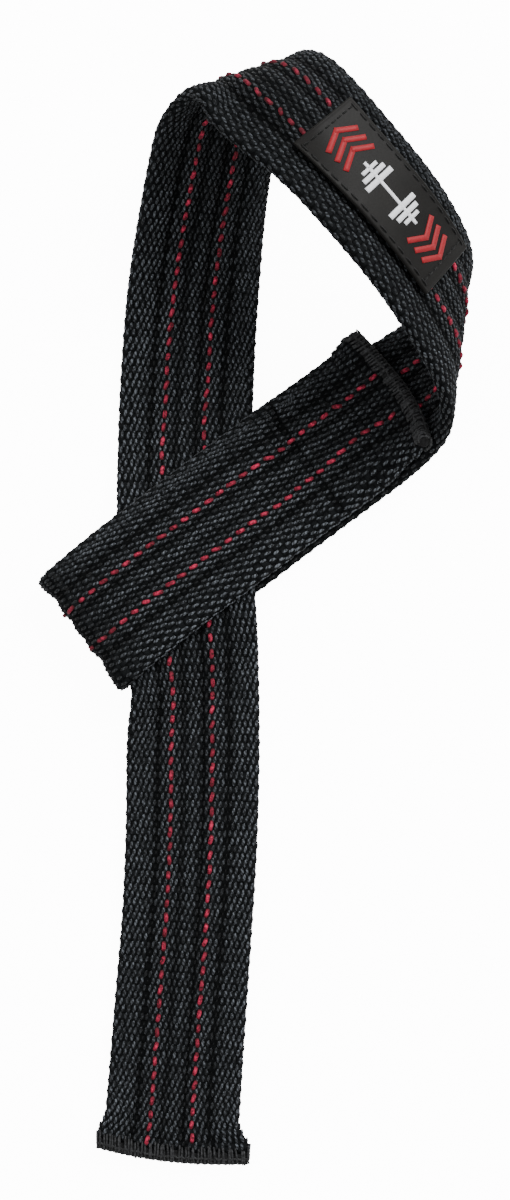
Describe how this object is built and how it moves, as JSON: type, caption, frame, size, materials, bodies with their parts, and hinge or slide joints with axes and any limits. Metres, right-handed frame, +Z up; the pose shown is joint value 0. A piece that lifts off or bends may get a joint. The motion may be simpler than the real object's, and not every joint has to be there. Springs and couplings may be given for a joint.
{
  "type": "lifting strap",
  "caption": "Padded woven cotton lifting strap lying with its wrist loop drawn through a sewn eyelet, tail straight, with a dark sewn-on patch",
  "frame": {"origin": "on the surface that the strap lies on, under the middle of its outer box", "axes": "+Z up from the surface, +Y from the tail's free end towards the folded top of the wrist loop, +X to the right seen from above"},
  "size_m": [0.1222, 0.315, 0.0532],
  "materials": {
    "webbing": "coarse plain weave, near black, with two broken red lines",
    "binding": "overlocked black thread",
    "patch": "smooth satin imitation leather, dark warm grey"
  },
  "bodies": {
    "root": {"strap": "webbing", "tail_hem": "binding", "eyelet_hem": "binding", "label_patch": "patch"}
  },
  "joints": []
}
